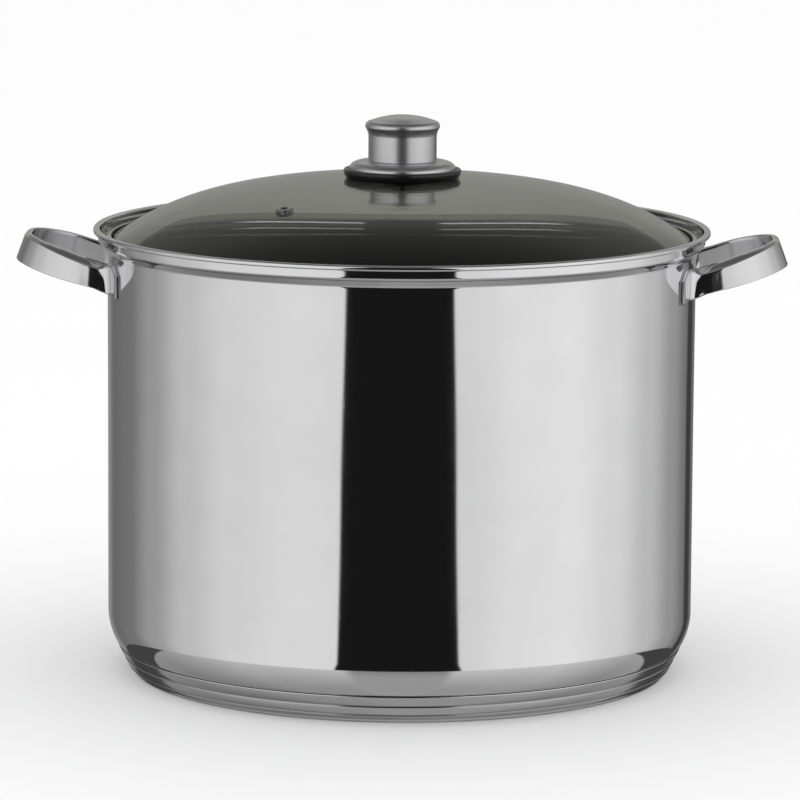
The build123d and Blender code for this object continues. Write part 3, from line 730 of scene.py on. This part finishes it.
class Nodes:
    """Short helpers for building one node tree."""

    def __init__(self, tree):
        self.tree = tree

    def add(self, kind, **inputs):
        node = self.tree.nodes.new(kind)
        for key, value in inputs.items():
            self.set(node, key.replace("_", " "), value)
        return node

    def set(self, node, key, value):
        socket = node.inputs[int(key)] if key.isdigit() else node.inputs[key]
        if isinstance(value, bpy.types.NodeSocket):
            self.tree.links.new(value, socket)
        else:
            socket.default_value = value

    def math(self, operation, a, b=0.0, clamp=False):
        node = self.tree.nodes.new("ShaderNodeMath")
        node.operation = operation
        node.use_clamp = clamp
        self.set(node, "0", a)
        self.set(node, "1", b)
        return node.outputs[0]

    def spread(self, value, low, high, to_low=0.0, to_high=1.0, smooth=False):
        node = self.tree.nodes.new("ShaderNodeMapRange")
        node.interpolation_type = "SMOOTHSTEP" if smooth else "LINEAR"
        self.set(node, "0", value)
        self.set(node, "1", low)
        self.set(node, "2", high)
        self.set(node, "3", to_low)
        self.set(node, "4", to_high)
        return node.outputs[0]

    def noise(self, where, scale, detail=3.0, stretch=(1, 1, 1), roughness=0.5):
        mapping = self.add("ShaderNodeMapping", Vector=where, Scale=stretch)
        node = self.add("ShaderNodeTexNoise", Vector=mapping.outputs[0], Scale=scale,
                        Detail=detail, Roughness=roughness)
        return node.outputs["Fac"]

    def mix(self, share, a, b):
        node = self.tree.nodes.new("ShaderNodeMix")
        node.data_type = "RGBA"
        self.set(node, "0", share)
        self.set(node, "6", a)
        self.set(node, "7", b)
        return node.outputs[2]


def new_material(name):
    """An empty material with a shader, and the object's own coordinates."""
    material = bpy.data.materials.new(name)
    material.use_nodes = True
    material.node_tree.nodes.clear()
    nodes = Nodes(material.node_tree)
    shader = nodes.add("ShaderNodeBsdfPrincipled")
    output = nodes.add("ShaderNodeOutputMaterial", Surface=shader.outputs[0])
    output.location = (400, 0)
    where = nodes.add("ShaderNodeTexCoord").outputs["Object"]
    return material, nodes, shader, where


def steel(name, colour, smooth, rough, lines, line_depth, scratch=0.05, grain=(2, 2, 900)):
    """Stainless steel: roughness between smooth and rough, fine lines, faint smudges and marks."""
    material, nodes, shader, where = new_material(name)
    smudge = nodes.noise(where, 11.0, 4.0)
    cloud = nodes.noise(where, 45.0, 2.0)
    line = nodes.noise(where, lines, 2.0, grain)
    fine = nodes.noise(where, 900.0, 1.0)
    marks = nodes.spread(nodes.noise(where, 60.0, 1.0, (14, 1, 1.6)), 0.70, 0.78, smooth=True)
    mottle = nodes.math("ADD", nodes.math("MULTIPLY", smudge, 0.6),
                       nodes.math("MULTIPLY", cloud, 0.4))
    roughness = nodes.spread(mottle, 0.35, 0.68, smooth, rough)
    roughness = nodes.math("ADD", roughness, nodes.math("MULTIPLY", marks, scratch))
    roughness = nodes.math("ADD", roughness, nodes.math("MULTIPLY", line, scratch * 0.3))
    nodes.set(shader, "Roughness", roughness)
    darker = tuple(c * 0.94 for c in colour) + (1,)
    nodes.set(shader, "Base Color", nodes.mix(nodes.spread(mottle, 0.3, 0.7), colour + (1,), darker))
    nodes.set(shader, "Metallic", 1.0)
    height = nodes.math("ADD", line, nodes.math("MULTIPLY", fine, 0.15))
    bump = nodes.add("ShaderNodeBump", Strength=1.0, Distance=line_depth, Height=height)
    nodes.set(shader, "Normal", bump.outputs[0])
    return material


def paint_shade_lines(material, axis, places, half_width, shade):
    """Paints shade as thin dark lines at these distances (in mm) along one axis, on both sides of it.
    """
    nodes = Nodes(material.node_tree)
    shader = next(n for n in nodes.tree.nodes if n.type == "BSDF_PRINCIPLED")
    where = nodes.add("ShaderNodeTexCoord").outputs["Object"]
    along = nodes.add("ShaderNodeSeparateXYZ", Vector=where).outputs[axis]
    along = nodes.math("ABSOLUTE", along)
    colour = shader.inputs["Base Color"].links[0].from_socket
    for place in places:
        away = nodes.math("ABSOLUTE", nodes.math("SUBTRACT", along, place / 1000))
        near = nodes.spread(away, half_width / 1000, half_width / 2000, smooth=True)
        # painted shade: near each line the colour is mixed towards the dark shade level
        colour = nodes.mix(near, colour, (shade, shade, shade, 1))
    nodes.set(shader, "Base Color", colour)


GROOVE_INNER = 0.1517           # metres from the axis: the groove between lid and lip
GROOVE_OUTER = 0.1546
GROOVE_FLOOR = 0.2215


def paint_groove_shade(material):
    """Paints shade on the steel in the narrow groove between the pot's lip and the lid."""
    nodes = Nodes(material.node_tree)
    shader = next(n for n in nodes.tree.nodes if n.type == "BSDF_PRINCIPLED")
    where = nodes.add("ShaderNodeTexCoord").outputs["Object"]
    x, y, z = nodes.add("ShaderNodeSeparateXYZ", Vector=where).outputs
    radius = nodes.math("SQRT", nodes.math("ADD", nodes.math("MULTIPLY", x, x),
                                           nodes.math("MULTIPLY", y, y)))
    within = nodes.math("MULTIPLY", nodes.spread(radius, GROOVE_INNER - 0.0002, GROOVE_INNER),
                        nodes.spread(radius, GROOVE_OUTER, GROOVE_OUTER - 0.0002))
    inner = nodes.math("MULTIPLY", within, nodes.spread(z, GROOVE_FLOOR - 0.0003, GROOVE_FLOOR))
    base = shader.inputs["Base Color"].links[0].from_socket
    # painted shade: near-black colour in the groove, where the lid and the lip shade it
    nodes.set(shader, "Base Color", nodes.mix(inner, base, (0.05, 0.05, 0.05, 1)))


def tinted_glass(name):
    """Tempered glass with a grey-green tint, faint water marks and a slightly uneven surface."""
    material, nodes, shader, where = new_material(name)
    haze = nodes.noise(where, 16.0, 3.0)
    spots = nodes.noise(where, 130.0, 2.0)
    film = nodes.math("MULTIPLY", nodes.spread(haze, 0.45, 0.75, smooth=True),
                      nodes.spread(spots, 0.4, 0.7))
    nodes.set(shader, "Roughness", nodes.spread(film, 0.0, 1.0, 0.0, 0.03))
    nodes.set(shader, "Base Color", nodes.mix(haze, (0.50, 0.51, 0.47, 1), (0.54, 0.55, 0.51, 1)))
    nodes.set(shader, "Transmission Weight", 1.0)
    nodes.set(shader, "IOR", 1.52)
    bump = nodes.add("ShaderNodeBump", Strength=1.0, Distance=0.00002, Height=haze)
    nodes.set(shader, "Normal", bump.outputs[0])
    return material


def silicone(name, colour, rough, sheen_spots=0.1):
    """Moulded silicone: nearly even, with a fine moulding texture and a little dust."""
    material, nodes, shader, where = new_material(name)
    mould = nodes.noise(where, 700.0, 2.0)
    dust = nodes.spread(nodes.noise(where, 260.0, 3.0), 0.55, 0.8)
    nodes.set(shader, "Base Color",
              nodes.mix(dust, colour + (1,), tuple(c * 1.8 + 0.004 for c in colour) + (1,)))
    nodes.set(shader, "Roughness", nodes.spread(mould, 0.2, 0.8, rough, rough + sheen_spots))
    bump = nodes.add("ShaderNodeBump", Strength=0.4, Distance=0.00002, Height=mould)
    nodes.set(shader, "Normal", bump.outputs[0])
    return material


def plain_floor(name):
    """Pale matt paint, very slightly mottled."""
    material, nodes, shader, where = new_material(name)
    mottled = nodes.noise(where, 3.0, 2.0)
    nodes.set(shader, "Base Color",
              nodes.mix(mottled, (0.90, 0.90, 0.90, 1), (0.92, 0.92, 0.92, 1)))
    nodes.set(shader, "Roughness", 0.8)
    nodes.set(shader, "Specular IOR Level", 0.1)
    return material


def dress(piece, material):
    """Gives a piece its one material."""
    piece.data.materials.clear()
    piece.data.materials.append(material)


def dress_cad(node, material):
    """Gives a CAD node that stays in view a material, through its object's slots."""
    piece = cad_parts[node]
    for slot in piece.material_slots:
        slot.link = "OBJECT"
        slot.material = material


# --- Studio ---------------------------------------------------------------------------------

# Brightness of the soft screen round the pot, by direction in degrees. 0 is towards the viewer
# and positive is to the right.
SCREEN = [
    (-180, 0.36), (-156, 0.28), (-144, 0.16), (-124, 0.20), (-105, 0.38), (-85, 0.63),
    (-64, 0.79), (-38, 0.86), (-10, 0.82), (22, 0.80), (44, 0.90), (64, 0.945), (85, 0.83),
    (105, 0.61), (124, 0.36), (140, 0.20), (143.5, 0.05), (149, 0.05), (156, 0.17), (180, 0.36),
]
SCREEN_RADIUS = 0.9
VIEW_AZIMUTH = 1.3             # camera's turn round the pot in degrees, unsure by about 2
SCREEN_TOP = 0.92
SCREEN_BOTTOM = -0.31
SCREEN_RIM = 1.19              # the screen's own upper edge, above the back wall's strip light
BACK_WALL_TOP = 0.915          # height of the back wall's upper edge in its middle
BACK_WALL_FALL = 0.0007        # how fast it comes down to either side, per square degree
BACK_WALL_SIDE = 0.58          # its height away from the middle
STRIP_TOP = 1.14               # height of the thin strip light in its middle
STRIP_FALL = 0.00067
STRIP_START = 5.5              # degrees from the middle where it begins
STRIP_END = 21.5
STRIP_LIGHT = 2.2
TABLE_LIMIT = 47.0             # degrees from the front: the table is dark beyond this
TABLE_SLANT = 168.0            # how much further back that limit lies for each unit down
CEILING_LOW = 0.22             # just above the screen
CEILING_HIGH = 0.10            # straight up
GAP_MIDDLE = -0.5              # middle of the dark slot that the picture is taken through
GAP_HALF = 20.1                # its half width in degrees, at table height
GAP_SPREAD = 10.5              # how much wider it gets for each metre down


def screen_material():
    """Soft light by direction round the pot, with a dark slot in front."""
    material = bpy.data.materials.new("screen_light")
    material.use_nodes = True
    material.node_tree.nodes.clear()
    nodes = Nodes(material.node_tree)
    where = nodes.add("ShaderNodeTexCoord").outputs["Object"]
    x, y, z = nodes.add("ShaderNodeSeparateXYZ", Vector=where).outputs
    around = nodes.math("ARCTAN2", x, nodes.math("MULTIPLY", y, -1.0))
    degrees = nodes.math("MULTIPLY", around, 180 / math.pi)
    ramp = nodes.add("ShaderNodeValToRGB", Fac=nodes.spread(degrees, -180, 180))
    ramp.color_ramp.interpolation = "EASE"
    stops = ramp.color_ramp.elements
    for i, (angle, level) in enumerate(SCREEN):
        at = (angle + 180) / 360
        stop = stops[i] if i < 2 else stops.new(at)
        stop.position = at
        stop.color = (level, level, level, 1)
    half = nodes.math("SUBTRACT", GAP_HALF, nodes.math("MULTIPLY", z, GAP_SPREAD))
    aside = nodes.math("ABSOLUTE", nodes.math("SUBTRACT", degrees, GAP_MIDDLE))
    slot = nodes.spread(nodes.math("SUBTRACT", aside, half), -0.6, 0.6, smooth=True)
    level = nodes.mix(slot, (0.010, 0.010, 0.010, 1), ramp.outputs[0])
    from_back = nodes.math("SUBTRACT", 180.0, nodes.math("ABSOLUTE", degrees))
    behind = nodes.spread(from_back, 52, 30, smooth=True)
    back_wall = nodes.mix(nodes.spread(z, 0.32, SCREEN_TOP), (0.34, 0.34, 0.32, 1),
                          (0.58, 0.58, 0.55, 1))
    high = nodes.math("MULTIPLY", behind, nodes.spread(z, 0.16, 0.30, smooth=True))
    level = nodes.mix(high, level, back_wall)
    square = nodes.math("MULTIPLY", from_back, from_back)
    arched = nodes.math("SUBTRACT", BACK_WALL_TOP, nodes.math("MULTIPLY", square, BACK_WALL_FALL))
    arched = nodes.math("MAXIMUM", arched, BACK_WALL_SIDE)
    top = nodes.mix(behind, (SCREEN_TOP, SCREEN_TOP, SCREEN_TOP, 1), arched)
    over = nodes.math("SUBTRACT", z, top)
    dim = nodes.spread(over, -0.002, 0.002)
    level = nodes.mix(dim, level, (CEILING_LOW, CEILING_LOW, CEILING_LOW, 1))
    strip = nodes.math("SUBTRACT", STRIP_TOP, nodes.math("MULTIPLY", square, STRIP_FALL))
    away = nodes.math("ABSOLUTE", nodes.math("SUBTRACT", z, strip))
    lit = nodes.math("MULTIPLY", nodes.spread(away, 0.022, 0.010, smooth=True),
                     nodes.spread(from_back, STRIP_START - 0.5, STRIP_START + 0.5))
    lit = nodes.math("MULTIPLY", lit, nodes.spread(from_back, STRIP_END, STRIP_END - 3))
    level = nodes.mix(lit, level, (STRIP_LIGHT, STRIP_LIGHT, STRIP_LIGHT, 1))
    light = nodes.add("ShaderNodeEmission", Color=level, Strength=1.0)
    nodes.add("ShaderNodeOutputMaterial", Surface=light.outputs[0])
    return material


def screen():
    """A round screen of soft light, seen only in reflections and through the glass."""
    steps = 180
    vertices = []
    for z in (SCREEN_BOTTOM, SCREEN_RIM):
        vertices += [(SCREEN_RADIUS * math.cos(2 * math.pi * i / steps),
                      SCREEN_RADIUS * math.sin(2 * math.pi * i / steps), z)
                     for i in range(steps)]
    faces = [(i, (i + 1) % steps, steps + (i + 1) % steps, steps + i) for i in range(steps)]
    mesh = bpy.data.meshes.new("screen")
    mesh.from_pydata(vertices, [], faces)
    piece = bpy.data.objects.new("screen", mesh)
    piece.rotation_euler.z = math.radians(VIEW_AZIMUTH)
    bpy.context.scene.collection.objects.link(piece)
    piece.visible_camera = False
    piece.visible_diffuse = False
    piece.visible_shadow = False
    dress(piece, screen_material())


def studio_world():
    """A dim ceiling above the screen and a grey table below it; the viewer sees plain white."""
    world = bpy.data.worlds.new("studio")
    bpy.context.scene.world = world
    world.use_nodes = True
    world.node_tree.nodes.clear()
    nodes = Nodes(world.node_tree)
    towards = nodes.add("ShaderNodeTexCoord").outputs["Generated"]
    x, y, z = nodes.add("ShaderNodeSeparateXYZ", Vector=towards).outputs
    around = nodes.math("ARCTAN2", x, nodes.math("MULTIPLY", y, -1.0))
    degrees = nodes.math("SUBTRACT", nodes.math("MULTIPLY", around, 180 / math.pi), VIEW_AZIMUTH)
    aside = nodes.math("ABSOLUTE", degrees)
    table = nodes.spread(z, -0.41, -0.87, 0.62, 0.35)
    table = nodes.math("MULTIPLY", table, nodes.spread(degrees, -90, 90, 0.90, 1.10))
    table = nodes.math("MULTIPLY", table, nodes.spread(aside, 70, 115, 1.0, 0.62))
    ahead = nodes.spread(z, -0.41, -0.60, 0.28, 0.38)
    table = nodes.mix(nodes.spread(aside, 24, 18, smooth=True), table, ahead)
    limit = nodes.math("SUBTRACT", TABLE_LIMIT, nodes.math("MULTIPLY", z, TABLE_SLANT))
    dark = nodes.spread(nodes.math("SUBTRACT", aside, limit), -1, 1, smooth=True)
    table = nodes.mix(dark, table, (0.06, 0.06, 0.06, 1))
    ceiling = nodes.spread(z, 0.64, 1.0, CEILING_LOW, CEILING_HIGH)
    level = nodes.mix(nodes.spread(z, -0.01, 0.01), table, ceiling)
    plain = nodes.add("ShaderNodeBackground", Color=(1, 1, 1, 1), Strength=1.0)
    studio = nodes.add("ShaderNodeBackground", Color=level, Strength=1.0)
    path = nodes.add("ShaderNodeLightPath")
    seen = nodes.math("MAXIMUM", path.outputs["Is Camera Ray"], path.outputs["Is Diffuse Ray"])
    both = nodes.tree.nodes.new("ShaderNodeMixShader")
    nodes.set(both, "0", seen)
    nodes.set(both, "1", studio.outputs[0])
    nodes.set(both, "2", plain.outputs[0])
    nodes.add("ShaderNodeOutputWorld", Surface=both.outputs[0])


def studio_floor():
    """A wide pale floor just under the pot."""
    half = 30.0
    mesh = bpy.data.meshes.new("floor")
    mesh.from_pydata([(-half, -half, 0), (half, -half, 0), (half, half, 0), (-half, half, 0)],
                     [], [(0, 1, 2, 3)])
    floor = bpy.data.objects.new("floor", mesh)
    floor.location.z = CAD_BOX[0].z - 0.0002
    bpy.context.scene.collection.objects.link(floor)
    floor.visible_glossy = False
    dress(floor, plain_floor("floor_paint"))


def studio_light():
    """One very soft light from above."""
    light = bpy.data.lights.new("soft_top", "SUN")
    light.energy = 0.42
    light.angle = math.radians(120)
    lamp = bpy.data.objects.new("soft_top", light)
    lamp.rotation_euler = (math.radians(8), math.radians(-6), 0)
    lamp.visible_glossy = False
    lamp.visible_transmission = False
    bpy.context.scene.collection.objects.link(lamp)


def photo_camera():
    """Camera fitted to the photo, turned round the pot by VIEW_AZIMUTH."""
    distance = 2.6
    height = 0.54713
    aside = 0.00045
    azimuth = math.radians(VIEW_AZIMUTH)
    pitch = math.radians(8.913)
    roll = math.radians(0.372)
    camera_data = bpy.data.cameras.new("camera")
    camera_data.sensor_width = 36.0
    camera_data.lens = 229.7
    camera = bpy.data.objects.new("camera", camera_data)
    bpy.context.scene.collection.objects.link(camera)
    around = Matrix.Rotation(azimuth, 4, "Z")
    back = Matrix.Translation((-aside, -distance, height))
    tilt = Euler((math.pi / 2 - pitch, 0, 0)).to_matrix().to_4x4()
    camera.matrix_world = around @ back @ tilt @ Matrix.Rotation(roll, 4, "Z")
    bpy.context.scene.camera = camera


# --- Assembly -------------------------------------------------------------------------------

polished = steel("polished_stainless", (0.80, 0.80, 0.81), 0.035, 0.06, 1.0, 0.0000025)
capsule_steel = steel("capsule_stainless", (0.74, 0.74, 0.75), 0.12, 0.18, 1.0, 0.000004)
strap_steel = steel("strap_stainless", (0.76, 0.76, 0.77), 0.06, 0.11, 1.0, 0.000002,
                    grain=(60, 60, 60))
band_steel = steel("band_stainless", (0.72, 0.72, 0.73), 0.10, 0.16, 1.0, 0.000003)
knob_steel = steel("brushed_stainless", (0.66, 0.66, 0.67), 0.24, 0.32, 1.0, 0.000012,
                   scratch=0.08)
fastener = steel("fastener_stainless", (0.42, 0.41, 0.40), 0.18, 0.28, 1.0, 0.000004)
aluminium = steel("plain_aluminium", (0.82, 0.82, 0.83), 0.30, 0.42, 1.0, 0.000006)
glass_tint = tinted_glass("tempered_glass")
black = silicone("black_silicone", (0.008, 0.008, 0.008), 0.18)
dark_grey = silicone("grey_silicone", (0.03, 0.03, 0.028), 0.4)

# painted shade in the groove between the pot's lip and the lid
paint_groove_shade(polished)
# painted shade in the gap at the seam between the capsule and the shell
paint_shade_lines(polished, 2, [SEAM_HEIGHT - SEAM_GAP / 2], 0.45, 0.12)
# painted shade at the bottoms of the capsule's two grooves
paint_shade_lines(capsule_steel, 2, [low for radius, low in GROOVES], 0.7, 0.38)
# painted contact shadow along the feet's edges where they meet the wall
paint_shade_lines(strap_steel, 1, [FOOT_EDGE], 0.9, 0.35)
dress(pot_shell(), polished)
dress(base_capsule(), capsule_steel)
dress(handle("handle_right_strap", 1, "handle_right"), strap_steel)
dress(handle("handle_left_strap", -1, "handle_left"), strap_steel)
dress(lid_glass(), glass_tint)
dress(lid_band(), band_steel)
dress(vent_eyelet(), fastener)
dress(knob_gasket(), black)
dress(knob_plate(), knob_steel)
dress(knob_shell(), knob_steel)
dress_cad("heat_spreader_disc", aluminium)
dress_cad("knob_insert", fastener)
dress_cad("knob_screw", fastener)
dress_cad("screw_washer", fastener)
dress_cad("lower_gasket", dark_grey)
dress_cad("vent_washer", fastener)
dress_cad("lid_band_seal", dark_grey)

studio_world()
screen()
studio_floor()
studio_light()
photo_camera()
bpy.context.scene.view_settings.view_transform = "Standard"
